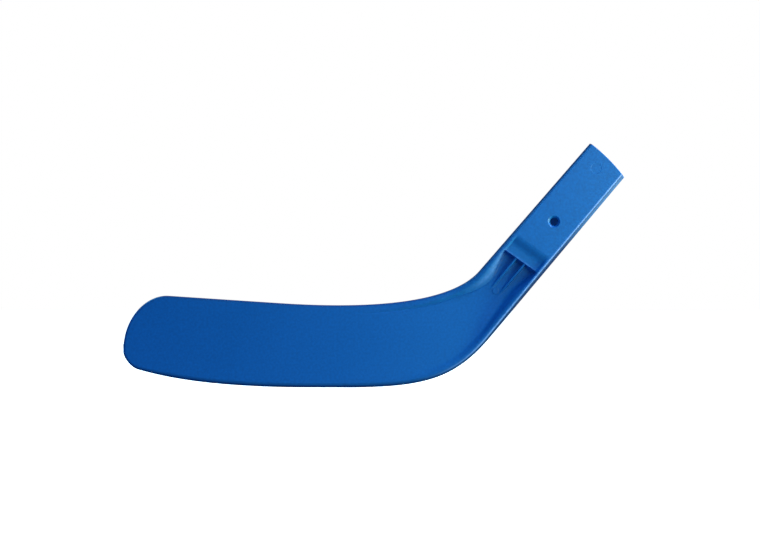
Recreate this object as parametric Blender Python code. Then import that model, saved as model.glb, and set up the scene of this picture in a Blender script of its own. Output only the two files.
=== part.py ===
"""Moulded replacement blade for a street hockey stick.

Blade, neck and shank are one plastic moulding. A wooden shaft slides into the hollow shank
and one screw through the front wall keeps it there.
The blade stands in its playing attitude: +Z up, toe to -X, front face to -Y. The origin is the
middle of the shank's mouth. Lengths below are millimetres and angles are degrees.
"""

import math

import bmesh
import bpy
import numpy as np

MM = 0.001

# The shaft that the shank takes, and the socket around it
SHAFT_WIDTH = 30.0
SHAFT_THICK = 20.0
MOUTH_CLEARANCE = 0.6
FLOOR_CLEARANCE = 0.2
SOCKET_DEPTH = 90.0
SOCKET_CORNER = 2.0
MOUTH_CHAMFER = 1.0

# Shank walls and attitude
SIDE_WALL = 3.6
FACE_WALL = 3.7
LIE_ANGLE = 49.5
SHANK_TAPER = 0.5
SHANK_LENGTH = 193.0
MOUTH_SKEW = 4.5
LIP_SKEW = -5.0

# Screw hole through the front wall, on the shank's middle line
SCREW_DISTANCE = 64.0
SCREW_HOLE = 6.2
COUNTERSINK = 9.2
COUNTERSINK_DEPTH = 2.4

# Step from the sleeve face down to the web: slope, lip and pocket wall
FLOOR_WALL = 0.4
SLOPE_RUN = 6.4
SLOPE_DROP = 2.6
LIP_RUN = 8.0
POCKET_DRAFT = 0.8

# Two gusset ribs on each face, from the pocket wall down to the web
RIB_LENGTH = 30.0
RIB_PITCH = 8.0
RIB_THICK = 1.6
RIB_ROOT = 2.2
RIB_SETDOWN = 1.0

# Edge flanges: they fall from the sleeve to a low bead, and the bead fades into the blade
BEAD_HEIGHT = 1.2
THROAT_FALL = 80.0
THROAT_FADE = 75.0
THROAT_CREST = 4.0
THROAT_FOOT_LIP = 5.6
THROAT_FOOT_NECK = 12.0
THROAT_FOOT_END = 6.6
HEEL_FALL = 105.0
HEEL_FADE = 35.0
HEEL_CREST = 3.4
HEEL_FOOT_LIP = 6.4
HEEL_FOOT_NECK = 12.0
HEEL_FOOT_END = 9.0
FOOT_WIDEN_RUN = 21.0
FOOT_NARROW_RUN = 45.0

# Blade plate
HEEL_THICK = 8.0
TOE_THICK = 7.0
SLEEVE_EDGE_RADIUS = 1.2
TOP_EDGE_RADIUS = 1.8
SOLE_EDGE_RADIUS = 3.2
TOE_EDGE_RADIUS = 2.2
BLADE_LENGTH = 261.2
TIP_DROP = 5.0
TOP_RISE = 33.6
TOP_REACH = 135.0
TOP_SLOPE = 3.7
TOE_TOP_SETBACK = 36.4
SOLE_DROP = 33.4
SOLE_REACH = 106.4
TOE_SOLE_SETBACK = 11.8
TOE_SOLE_DROP = 19.4
TOE_SOLE_SLOPE = 16.0

# Where the shank's straight edges end, measured back from the heel point
THROAT_SETBACK = 60.8
HEEL_SETBACK = 25.0

# Pull of each edge curve's two ends, as a share of the distance between them
THROAT_PULL = (0.255, 0.287)
TOE_TOP_PULL = (0.286, 0.504)
HEEL_PULL = (0.352, 0.53)
SOLE_PULL = (0.36, 0.298)
TOE_SOLE_PULL = (0.353, 0.262)

# Fineness of the faceted skin
CURVE_STEPS = 40
SHANK_STEPS = 2
RIB_STEPS = 6
BEND_STEPS = 18
BLADE_STEPS = 9
TOE_STEPS = 8
TOE_CAP = 0.35
WALL_STEPS = 4
CORNER_STEPS = 3
HOLE_SIDES = 32

# Sizes that follow from those above
SLEEVE_HALF_WIDTH = (SHAFT_WIDTH + MOUTH_CLEARANCE) / 2 + SIDE_WALL
SLEEVE_HALF_THICK = (SHAFT_THICK + MOUTH_CLEARANCE) / 2 + FACE_WALL
LIP_HALF_THICK = SLEEVE_HALF_THICK - SLOPE_DROP
SLOPE_START = SOCKET_DEPTH + FLOOR_WALL
SLOPE_END = SLOPE_START + SLOPE_RUN
LIP_END = SLOPE_END + LIP_RUN
RIB_START = LIP_END + POCKET_DRAFT
RIB_END = RIB_START + RIB_LENGTH

# The middle line runs down the shank, round the bend and out along the blade, in X and Z
LIE = math.radians(LIE_ANGLE)
AXIS = np.array((-math.cos(LIE), -math.sin(LIE)))
ACROSS = np.array((-math.sin(LIE), math.cos(LIE)))
HEEL_POINT = AXIS * SHANK_LENGTH
TIP = HEEL_POINT + np.array((-BLADE_LENGTH, -TIP_DROP))
BEND_RADIUS = (SHANK_LENGTH - RIB_END) / math.tan(LIE / 2)
BEND_CENTRE = AXIS * RIB_END + ACROSS * BEND_RADIUS
BEND_END = RIB_END + BEND_RADIUS * LIE
MIDDLE_END = BEND_END + BEND_CENTRE[0] - TIP[0]

PLASTIC_BLUE = (0.010, 0.110, 0.400, 1.0)
PLASTIC_ROUGHNESS = 0.42


def clear_scene():
    for found in list(bpy.data.objects):
        bpy.data.objects.remove(found, do_unlink=True)


def mix(low, high, share):
    return low + (high - low) * share


def ramp(value, start, end):
    return min(max((value - start) / (end - start), 0.0), 1.0)


def ease(share):
    return share * share * (3.0 - 2.0 * share)


def heading(degrees):
    """Unit vector that points to -X and climbs at this angle."""
    angle = math.radians(degrees)
    return np.array((-math.cos(angle), math.sin(angle)))


def edge_curve(start, start_way, end, end_way, pull):
    """Points of a smooth curve that leaves start along start_way and reaches end along end_way."""
    reach = np.linalg.norm(end - start)
    near = start + start_way * reach * pull[0]
    far = end - end_way * reach * pull[1]
    points = []
    for step in range(CURVE_STEPS + 1):
        share = step / CURVE_STEPS
        rest = 1.0 - share
        points.append(
            start * rest**3
            + near * 3.0 * rest**2 * share
            + far * 3.0 * rest * share**2
            + end * share**3
        )
    return points


def shank_edge(side, setback):
    """Direction of one straight side of the shank, a point well out of the mouth, and its end."""
    taper = math.radians(SHANK_TAPER) * side
    way = AXIS * math.cos(taper) + ACROSS * math.sin(taper)
    corner = ACROSS * SLEEVE_HALF_WIDTH * side
    return way, corner - way * SLEEVE_HALF_WIDTH, corner + way * (SHANK_LENGTH - setback)


def throat_edge():
    """Upper edge, from outside the mouth, round the throat and along the top to the toe's tip."""
    way, outside, straight_end = shank_edge(1, THROAT_SETBACK)
    top_way = heading(TOP_SLOPE)
    top_start = HEEL_POINT + np.array((-TOP_REACH, TOP_RISE))
    top_run = (BLADE_LENGTH - TOE_TOP_SETBACK - TOP_REACH) / math.cos(math.radians(TOP_SLOPE))
    top_end = top_start + top_way * top_run
    throat = edge_curve(straight_end, way, top_start, top_way, THROAT_PULL)
    toe = edge_curve(top_end, top_way, TIP, heading(-90.0), TOE_TOP_PULL)
    return np.array([outside] + throat + toe)


def heel_edge():
    """Lower edge, from outside the mouth, round the heel and along the sole to the toe's tip."""
    way, outside, straight_end = shank_edge(-1, HEEL_SETBACK)
    sole = HEEL_POINT + np.array((-SOLE_REACH, -SOLE_DROP))
    corner = HEEL_POINT + np.array((TOE_SOLE_SETBACK - BLADE_LENGTH, -TOE_SOLE_DROP))
    corner_way = heading(TOE_SOLE_SLOPE)
    heel = edge_curve(straight_end, way, sole, heading(0.0), HEEL_PULL)
    rocker = edge_curve(sole, heading(0.0), corner, corner_way, SOLE_PULL)
    toe = edge_curve(corner, corner_way, TIP, heading(90.0), TOE_SOLE_PULL)
    return np.array([outside] + heel + rocker[1:] + toe[1:])


def distance_to(edge, point):
    """Shortest distance from a point to a chain of straight pieces."""
    start = edge[:-1]
    run = edge[1:] - start
    size = np.maximum((run * run).sum(axis=1), 1e-12)
    share = np.clip(((point - start) * run).sum(axis=1) / size, 0.0, 1.0)
    gap = point - start - run * share[:, None]
    return math.sqrt((gap * gap).sum(axis=1).min())


def crossing(edge, point, way):
    """Where the line through point along way meets an edge, nearest to the point."""
    square = np.array((-way[1], way[0]))
    offset = (edge - point) @ square
    best = None
    for index in range(len(edge) - 1):
        before, after = offset[index], offset[index + 1]
        if before * after > 0.0 or before == after:
            continue
        found = mix(edge[index], edge[index + 1], before / (before - after))
        reach = abs((found - point) @ way)
        if best is None or reach < best[0]:
            best = (reach, found)
    return best[1]


def skew(length):
    """How far the moulding's cross lines lean from square to the middle line."""
    if length < SLOPE_START:
        return mix(MOUTH_SKEW, LIP_SKEW, length / SLOPE_START)
    return mix(LIP_SKEW, 0.0, ramp(length, LIP_END, RIB_END))


def section_line(length):
    """Point of the middle line this far from the mouth, and the way across it to the upper edge."""
    turn = min(max(length - RIB_END, 0.0) / BEND_RADIUS, LIE)
    angle = LIE + math.pi / 2 - turn
    square = np.array((math.cos(angle), math.sin(angle)))
    if length <= RIB_END:
        point = AXIS * length
    else:
        point = BEND_CENTRE - square * BEND_RADIUS
        point = point + np.array((min(BEND_END - length, 0.0), 0.0))
    lean = angle - math.radians(skew(length))
    return point, np.array((math.cos(lean), math.sin(lean)))


def web_height(length):
    """Half the thickness of the blade plate."""
    return mix(HEEL_THICK, TOE_THICK, ramp(length, RIB_END, MIDDLE_END)) / 2


def floor_height(length):
    """Half thickness between the flanges: sleeve face, slope, lip, then the web."""
    if length <= SLOPE_END:
        return mix(SLEEVE_HALF_THICK, LIP_HALF_THICK, ramp(length, SLOPE_START, SLOPE_END))
    return mix(LIP_HALF_THICK, web_height(length), ramp(length, LIP_END, RIB_START))


def rib_height(length):
    """Half thickness over a gusset rib, which falls straight from the lip to the web."""
    if RIB_START <= length < RIB_END:
        top = LIP_HALF_THICK - RIB_SETDOWN
        return mix(top, web_height(length), ramp(length, RIB_START, RIB_END))
    return floor_height(length)


def flange_height(length, fall, fade):
    """Half thickness over an edge flange."""
    fall_end = SLOPE_START + fall
    bead = BEAD_HEIGHT * (1.0 - ease(ramp(length, fall_end, fall_end + fade)))
    low = web_height(length) + bead
    return mix(SLEEVE_HALF_THICK, low, ease(ramp(length, SLOPE_START, fall_end)))


def flange_foot(length, lip, neck, end):
    """Distance from an edge to the foot of its flange: widest in the neck."""
    widest = LIP_END + FOOT_WIDEN_RUN
    if length < widest:
        return mix(lip, neck, ramp(length, LIP_END, widest))
    return mix(neck, end, ease(ramp(length, widest, widest + FOOT_NARROW_RUN)))


def flange_side(length, radius, crest, top, foot):
    """Distances in from an edge and half thicknesses there, from the edge to the flange's foot."""
    low = floor_height(length)
    side = []
    for step in range(CORNER_STEPS + 1):
        side.append((radius * (1.0 - math.cos(step / CORNER_STEPS * math.pi / 2)), top))
    for step in range(WALL_STEPS + 1):
        share = step / WALL_STEPS
        side.append((mix(crest, foot, share), mix(top, low, ease(share))))
    return side


def edge_radius(length, blade_radius):
    """Rounding of an edge: small along the sleeve, then the blade's own, then the toe's."""
    if length < BEND_END:
        return mix(SLEEVE_EDGE_RADIUS, blade_radius, ramp(length, LIP_END, BEND_END))
    return mix(blade_radius, TOE_EDGE_RADIUS, ramp(length, MIDDLE_END - TOE_TOP_SETBACK, MIDDLE_END))


def edge_drop(radius, inset):
    """How far a round edge falls below the face, this far in from the edge."""
    short = max(radius - inset, 0.0)
    return radius - math.sqrt(radius * radius - short * short)


def rib_side(length, middle):
    """Distances and half thicknesses over one rib, from its heel side to its throat side."""
    low, top = floor_height(length), rib_height(length)
    return [
        (middle - RIB_ROOT / 2, low),
        (middle - RIB_THICK / 2, top),
        (middle + RIB_THICK / 2, top),
        (middle + RIB_ROOT / 2, low),
    ]


def section_loop(length, upper, lower):
    """One ring of points around the moulding: front face from heel to throat, then back again."""
    middle, way = section_line(length)
    throat = crossing(upper, middle, way)
    heel = crossing(lower, middle, way)
    width = np.linalg.norm(throat - heel)
    full = max(width, 2 * SLEEVE_HALF_WIDTH)
    centre = np.linalg.norm(middle - heel) * full / width
    sole_radius = edge_radius(length, SOLE_EDGE_RADIUS)
    top_radius = edge_radius(length, TOP_EDGE_RADIUS)
    heel_top = flange_height(length, HEEL_FALL, HEEL_FADE)
    heel_foot = flange_foot(length, HEEL_FOOT_LIP, HEEL_FOOT_NECK, HEEL_FOOT_END)
    throat_top = flange_height(length, THROAT_FALL, THROAT_FADE)
    throat_foot = flange_foot(length, THROAT_FOOT_LIP, THROAT_FOOT_NECK, THROAT_FOOT_END)
    profile = flange_side(length, sole_radius, HEEL_CREST, heel_top, heel_foot)
    profile += rib_side(length, centre - RIB_PITCH / 2)
    profile += rib_side(length, centre + RIB_PITCH / 2)
    far_side = flange_side(length, top_radius, THROAT_CREST, throat_top, throat_foot)
    profile += [(full - inset, height) for inset, height in reversed(far_side)]
    front = []
    for distance, height in profile:
        point = mix(heel, throat, distance / full)
        top_drop = edge_drop(top_radius, distance_to(upper, point))
        sole_drop = edge_drop(sole_radius, distance_to(lower, point))
        front.append((point[0], max(top_drop, sole_drop) - height, point[1]))
    back = [(x, -y, z) for x, y, z in reversed(front)]
    return front + back


def stations():
    """Distances from the mouth at which the moulding gets a ring of points, out to the toe."""
    found = [SLOPE_START * step / SHANK_STEPS for step in range(SHANK_STEPS)]
    found += [SLOPE_START, SLOPE_END, LIP_END]
    found += [mix(RIB_START, RIB_END, step / RIB_STEPS) for step in range(RIB_STEPS)]
    found += [mix(RIB_END, BEND_END, step / BEND_STEPS) for step in range(BEND_STEPS)]
    toe_start = MIDDLE_END - TOE_TOP_SETBACK
    found += [mix(BEND_END, toe_start, step / BLADE_STEPS) for step in range(BLADE_STEPS)]
    for step in range(TOE_STEPS + 1):
        share = math.sin(step / TOE_STEPS * math.pi / 2)
        found.append(mix(toe_start, MIDDLE_END - TOE_CAP, share))
    return found


def plastic():
    material = bpy.data.materials.new("blue_plastic")
    material.use_nodes = True
    shader = material.node_tree.nodes["Principled BSDF"]
    shader.inputs["Base Color"].default_value = PLASTIC_BLUE
    shader.inputs["Roughness"].default_value = PLASTIC_ROUGHNESS
    shader.inputs["Metallic"].default_value = 0.0
    material.diffuse_color = PLASTIC_BLUE
    return material


def skin_object(name, loops):
    """A closed body through equal rings of points, in millimetres, capped at both ends."""
    mesh = bpy.data.meshes.new(name)
    work = bmesh.new()
    rings = [[work.verts.new([value * MM for value in point]) for point in loop] for loop in loops]
    count = len(rings[0])
    for near, far in zip(rings, rings[1:]):
        for index in range(count):
            after = (index + 1) % count
            work.faces.new((near[index], near[after], far[after], far[index]))
    work.faces.new(list(reversed(rings[0])))
    work.faces.new(rings[-1])
    bmesh.ops.recalc_face_normals(work, faces=work.faces)
    work.to_mesh(mesh)
    work.free()
    body = bpy.data.objects.new(name, mesh)
    bpy.context.scene.collection.objects.link(body)
    return body


def rounded_rectangle(width, thick, radius):
    """Corner points of a rectangle with round corners, across the shank and through it."""
    points = []
    for quarter, (side, face) in enumerate(((1, 1), (-1, 1), (-1, -1), (1, -1))):
        for step in range(CORNER_STEPS + 1):
            angle = (quarter + step / CORNER_STEPS) * math.pi / 2
            across = side * (width / 2 - radius) + radius * math.cos(angle)
            through = face * (thick / 2 - radius) + radius * math.sin(angle)
            points.append((across, through))
    return points


def shank_point(depth, across, through):
    point = AXIS * depth + ACROSS * across
    return point[0], through, point[1]


def socket_cutter():
    """The space for the shaft, with a chamfer along the slanted mouth and a square floor."""
    lean = math.tan(math.radians(MOUTH_SKEW))
    outside = 2 * MOUTH_CHAMFER
    loops = []
    for depth, clearance, slant in (
        (-outside, MOUTH_CLEARANCE + 2 * (outside + MOUTH_CHAMFER), lean),
        (MOUTH_CHAMFER, MOUTH_CLEARANCE, lean),
        (SOCKET_DEPTH, FLOOR_CLEARANCE, 0.0),
    ):
        ring = rounded_rectangle(SHAFT_WIDTH + clearance, SHAFT_THICK + clearance, SOCKET_CORNER)
        loops.append([shank_point(depth - across * slant, across, through) for across, through in ring])
    return skin_object("socket_cutter", loops)


def screw_cutter():
    """The countersunk hole, from in front of the sleeve to the middle of the socket."""
    face = -SLEEVE_HALF_THICK
    flare = (COUNTERSINK - SCREW_HOLE) / 2 / COUNTERSINK_DEPTH
    loops = []
    for through, radius in (
        (face - COUNTERSINK_DEPTH, COUNTERSINK / 2 + flare * COUNTERSINK_DEPTH),
        (face + COUNTERSINK_DEPTH, SCREW_HOLE / 2),
        (0.0, SCREW_HOLE / 2),
    ):
        ring = []
        for step in range(HOLE_SIDES):
            angle = step / HOLE_SIDES * 2 * math.pi
            depth = SCREW_DISTANCE + radius * math.cos(angle)
            ring.append(shank_point(depth, radius * math.sin(angle), through))
        loops.append(ring)
    return skin_object("screw_cutter", loops)


def cut(body, cutter):
    cutter.hide_render = True
    cutter.display_type = "WIRE"
    cutter.parent = body
    modifier = body.modifiers.new(cutter.name, "BOOLEAN")
    modifier.operation = "DIFFERENCE"
    modifier.solver = "EXACT"
    modifier.object = cutter


def stick_blade():
    """The moulding: its outer skin, less the shaft's socket and the screw hole."""
    upper, lower = throat_edge(), heel_edge()
    body = skin_object("stick_blade", [section_loop(length, upper, lower) for length in stations()])
    body.data.materials.append(plastic())
    body.data.shade_smooth()
    body.data.set_sharp_from_angle(angle=math.radians(35.0))
    cut(body, socket_cutter())
    cut(body, screw_cutter())
    return body


def main():
    clear_scene()
    stick_blade()


main()
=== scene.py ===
import math
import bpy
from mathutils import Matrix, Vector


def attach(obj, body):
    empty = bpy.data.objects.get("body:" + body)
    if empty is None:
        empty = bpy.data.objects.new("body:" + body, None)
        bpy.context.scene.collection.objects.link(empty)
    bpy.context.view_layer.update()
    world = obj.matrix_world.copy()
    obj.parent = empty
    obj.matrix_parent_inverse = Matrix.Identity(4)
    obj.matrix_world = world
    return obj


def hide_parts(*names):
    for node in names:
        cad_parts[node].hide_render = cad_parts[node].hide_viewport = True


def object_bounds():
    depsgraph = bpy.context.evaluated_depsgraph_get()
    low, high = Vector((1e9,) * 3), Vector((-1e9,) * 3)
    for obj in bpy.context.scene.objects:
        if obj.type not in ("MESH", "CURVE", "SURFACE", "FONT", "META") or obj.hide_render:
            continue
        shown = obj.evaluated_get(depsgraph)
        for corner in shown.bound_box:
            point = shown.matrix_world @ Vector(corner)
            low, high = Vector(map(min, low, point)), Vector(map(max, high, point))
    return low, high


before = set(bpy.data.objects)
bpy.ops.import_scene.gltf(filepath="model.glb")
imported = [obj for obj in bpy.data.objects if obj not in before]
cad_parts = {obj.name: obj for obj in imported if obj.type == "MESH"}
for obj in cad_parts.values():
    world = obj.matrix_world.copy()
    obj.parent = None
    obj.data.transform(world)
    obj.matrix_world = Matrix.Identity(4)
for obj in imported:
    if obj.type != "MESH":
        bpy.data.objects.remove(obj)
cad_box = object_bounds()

from types import SimpleNamespace

import bmesh
import bpy
import numpy as np
from bpy.props import FloatProperty, FloatVectorProperty, PointerProperty
from mathutils import Vector

bl_info = {
    "name": "Street hockey blade",
    "version": (1, 0, 0),
    "blender": (4, 5, 0),
    "location": "View3D > Sidebar > Blade",
    "description": "Builds the moulded blade of a street hockey stick and a plain studio around it",
    "category": "Object",
}

# A millimetre in metres, and a guard against dividing by nothing
MM = 0.001
TINY = 1e-9

# Fineness of the skin: steps along each curve, wall, round edge and gap, and when an edge is sharp
CURVE_STEPS = 120
WALL_STEPS = 14
CORNER_STEPS = 7
FOOT_STEPS = 4
POCKET_STEPS = 6
RIB_GAP_STEPS = 4
SIDE_WALL_POINTS = 5
SLEEVE_STEPS = 22
TOE_STEPS = 45
RIM_STEPS = 4
CIRCLE_STEPS = 72
ROUNDING_SAMPLES = 41
SHARP_ANGLE = math.radians(38.0)
MERGE_DISTANCE = 1e-7

# Pulls at both ends of each edge curve, as shares of the distance between its ends
THROAT_PULL = (0.255, 0.287)
TOE_TOP_PULL = (0.286, 0.504)
HEEL_PULL = (0.352, 0.53)
ROCKER_PULL = (0.36, 0.298)
TOE_SOLE_PULL = (0.353, 0.262)

# Small lengths in millimetres that keep bends and features clear of each other
RIM_STEP = 0.2
BEND_MARGIN = 2.0
LIP_MARGIN = 1.0
LIP_FLAT = 3.0
RIB_TAIL = 4.0
TIP_GAP = 0.04
CREST_LEAST = 0.05
WALL_LEAST = 0.5
PARTING_WIDTH = 0.3
SCREW_PANEL = 9.0

# A flange wall's rounding at its crest and its foot, as a share of the wall
WALL_ROUNDING = 0.36

# A rib's end on the web: softness, sinking, and the gap below which it is gone
RIB_SOFTNESS = 0.5
RIB_SINK = 0.02
RIB_GONE = 4.0

# A rib's section: its foot by shares of its fillet (out, up), and its top (in, down)
RIB_FOOT = ((1.0, 0.0), (0.55, 0.11), (0.25, 0.34), (0.06, 0.70))
RIB_TOP = ((0.0, 0.40), (0.12, 0.13), (0.40, 0.0))
RIB_TOP_LEAST = 0.55
RIB_TOP_FULL = 0.8

# The countersink: its soft rim (out, down), and its cone by shares of its width and depth
COUNTERSINK_RIM = ((0.35, 0.0), (0.16, 0.05), (0.0, 0.18))
COUNTERSINK_CONE = ((0.5, 0.42), (0.86, 0.78))

# The ejector marks: the mark's slope, the pad's root, and the pad's edge (in, share of its height)
PIN_SLOPE = 0.4
PAD_ROOT = 0.8
PAD_EDGE = ((0.0, 0.0), (0.05, 0.6), (0.2, 0.92), (0.5, 1.0))

# The crease at the throat bead's foot: where it starts after the lip, and how slowly it comes and goes
CREASE_DELAY = 12.0
CREASE_FADE = 30.0

# Painted shade on the side walls: how fast it sets in on a round edge, and where it does so on the throat's
# side
WALL_SHADE_ONSET = 0.4
THROAT_SHADE_ONSET = (30.0, 80.0)

# Shade at the foot of the slope: strength, place before the slope's end, and width
SLOPE_SHADE = 0.2
SLOPE_SHADE_BACK = 2.4
SLOPE_SHADE_WIDTH = 2.2

# Painted highlight on the ridge on the heel's side: place on the round edge, width, and fade round the bend's
# end
RIDGE_PLACE = 0.55
RIDGE_WIDTH = 0.55
RIDGE_FADE = (-80.0, -20.0)

# Painted sheen on the throat wall: strength, width, onset round the lip's end and fade round the ribs' end
SHEEN = 0.4
SHEEN_WIDTH = 1.8
SHEEN_ONSET = (-4.0, 4.0)
SHEEN_FADE = (-12.0, 25.0)

# Painted highlight on the end of the lip: strength, place before the lip's end, width, and blend into the
# flanges
LIP_HIGHLIGHT = 0.35
LIP_HIGHLIGHT_BACK = 0.5
LIP_HIGHLIGHT_WIDTH = 0.6
FLANGE_BLEND = 1.0

# Heel wall near the mouth, painted lighter: where this fades, how much less painted shade it has, and how
# strong its painted highlight is
MOUTH_LIGHT_FADE = (36.0, 84.0)
MOUTH_SHADE_CLEARING = 0.7
MOUTH_HIGHLIGHT = 0.25

# Columns of a ring's points: X, Y, Z and two marks, painted shade and painted highlight; the back mirrors the
# front
PAINTED_SHADE_MARK = 3
PAINTED_HIGHLIGHT_MARK = 4
MIRRORED = np.array((1.0, -1.0, 1.0, 1.0, 1.0))

# Noise of the plastic: size in metres where it is fixed, detail and roughness
CLOUD = (0.045, 3.0, 0.55)
MOTTLE = (0.0019, 1.5, 0.5)
# Noise that breaks the painted highlight into streaks
HIGHLIGHT_STREAKS = (0.0035, 4.0, 0.65)
FINE_GRAIN = (3.0, 0.6)
COARSE_GRAIN = (2.0, 0.5)
COARSE_SCALE = 3.2
COARSE_HEIGHT = 0.5
RIPPLE = (1.0, 0.4)

# Finish of the plastic: spreads of tone and roughness, streaks in the painted highlight, painted shade in
# hollows, and bumps
PLASTIC_IOR = 1.49
CLOUD_TONE = 0.04
CLOUD_ROUGHNESS = 0.03
GRAIN_ROUGHNESS = 0.06
STREAK_RANGE = (0.30, 0.62)
STREAK_LEAST = 0.5
POCKET_SHADE_REACH = 0.0035
POCKET_SHADE_SAMPLES = 12
POCKET_SHADE_GAIN = 2.2
GRAIN_BUMP = (0.36, 0.00006)
RIPPLE_BUMP = (0.25, 0.00012)

# The floor: reach from the middle, roughness, uneven tone and its noise
FLOOR_REACH = 6.0
FLOOR_ROUGHNESS = 0.9
FLOOR_DULLING = 0.985
FLOOR_NOISE = (0.6, 2.0, 0.5)
WHITE = (1.0, 1.0, 1.0, 1.0)

# Soft light of the world, as (share of the axis, value) stops
RING_BAND = ((-0.94, 0.0), (-0.80, 1.0), (-0.56, 1.0), (-0.20, 0.0))
OVERHEAD_BAND = ((0.0, 0.0), (0.8, 1.0))

# Places in metres that the lamps and the camera look at
MIDDLE = (-0.1802, 0.0, -0.0946)
NECK = (-0.09, 0.0, -0.09)
MOUTH = (0.0, 0.0, 0.0)
MOUTH_SIDE = (0.015, 0.0, -0.02)

# Softboxes: name, place, aim, diameter, and the studio settings that hold power and tint
SOFTBOXES = (
    ("key_light", (0.487, -0.155, -0.140), NECK, 0.2, "key", "lamp"),
    ("upper_light", (0.333, -0.424, -0.127), NECK, 0.2, "upper", "lamp"),
    ("front_light", (0.03, -0.28, 0.02), MOUTH, 0.06, "front", "lamp"),
    ("edge_light", (0.16, 0.30, -0.10), MOUTH_SIDE, 0.1, "edge", "cool"),
    ("back_light", (1.0, 1.2, 0.7), MIDDLE, 0.6, "back", "cool"),
    ("fill_light", (-1.14, 0.48, 1.09), MIDDLE, 0.6, "fill", "surround"),
)

# The spot lamp on the mouth, and the width of the camera's sensor in millimetres
TIP_PLACE = (0.70, -0.25, 0.85)
TIP_CONE = math.radians(16.0)
TIP_SOFTNESS = 0.06
SENSOR_WIDTH = 36.0


def size(name, description, default):
    """A length, given in millimetres and kept in metres."""
    return FloatProperty(
        name=name, description=description, default=default * MM, unit="LENGTH", precision=5
    )


def angle(name, description, default):
    """An angle, given in degrees and kept in radians."""
    return FloatProperty(
        name=name, description=description, default=math.radians(default), unit="ROTATION"
    )


def share(name, description, default):
    """A number from 0 to 1."""
    return FloatProperty(
        name=name, description=description, default=default, min=0.0, max=1.0, subtype="FACTOR"
    )


def colour(name, description, default):
    """A colour in linear red, green and blue."""
    return FloatVectorProperty(
        name=name, description=description, default=default, size=3, min=0.0, max=1.0, subtype="COLOR"
    )


def watts(name, description, default):
    """A lamp's power."""
    return FloatProperty(name=name, description=description, default=default, min=0.0, unit="POWER")


class ShankSizes(bpy.types.PropertyGroup):
    """The hollow shank that slips over the shaft."""

    width: size("Sleeve width", "Across the sleeve's face at the parting line", 37.8)
    thick: size("Sleeve thickness", "Through the sleeve from face to face", 28.0)
    length: size("Shank length", "From the mouth to the heel point on the middle line", 193.0)
    lie: angle("Lie angle", "Climb of the shank above the blade", 49.5)
    taper: angle("Taper", "Widening of each side towards the heel", 0.5)
    draft: angle("Draft", "Lean of the side walls, so that the moulding leaves its mould", 8.0)
    mouth_skew: angle("Mouth skew", "Lean of the mouth from square", 4.5)
    mouth_bow: size("Mouth bow", "Bulge of the mouth's end between its corners", 1.3)
    rim: size("Rim rounding", "Radius of the mouth's outer rim", 0.5)
    socket_width: size("Socket width", "Across the socket at its mouth", 30.6)
    socket_thick: size("Socket thickness", "Through the socket at its mouth", 20.6)
    socket_depth: size("Socket depth", "From the mouth to the socket's floor", 90.0)
    socket_draw: size("Socket draw", "Narrowing of the socket from mouth to floor", 0.4)
    socket_corner: size("Socket corner", "Radius of the socket's corners", 2.0)
    chamfer: size("Mouth chamfer", "Lead-in around the socket's mouth", 1.0)
    screw_distance: size("Screw distance", "From the mouth to the screw hole", 64.0)
    screw_hole: size("Screw hole", "Diameter of the screw hole", 6.2)
    countersink: size("Countersink", "Diameter of the countersink on the face", 9.2)
    countersink_depth: size("Countersink depth", "Depth of the countersink", 2.4)
    pin_distance: size("Pin mark distance", "From the mouth to the ejector pin's mark", 10.6)
    pin_offset: size("Pin mark offset", "Off the middle line, towards the throat", 2.0)
    pin_mark: size("Pin mark", "Diameter of the ejector pin's mark on the sleeve", 8.6)
    pin_sink: size("Pin mark sink", "Depth of the ejector pin's mark", 0.10)


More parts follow.
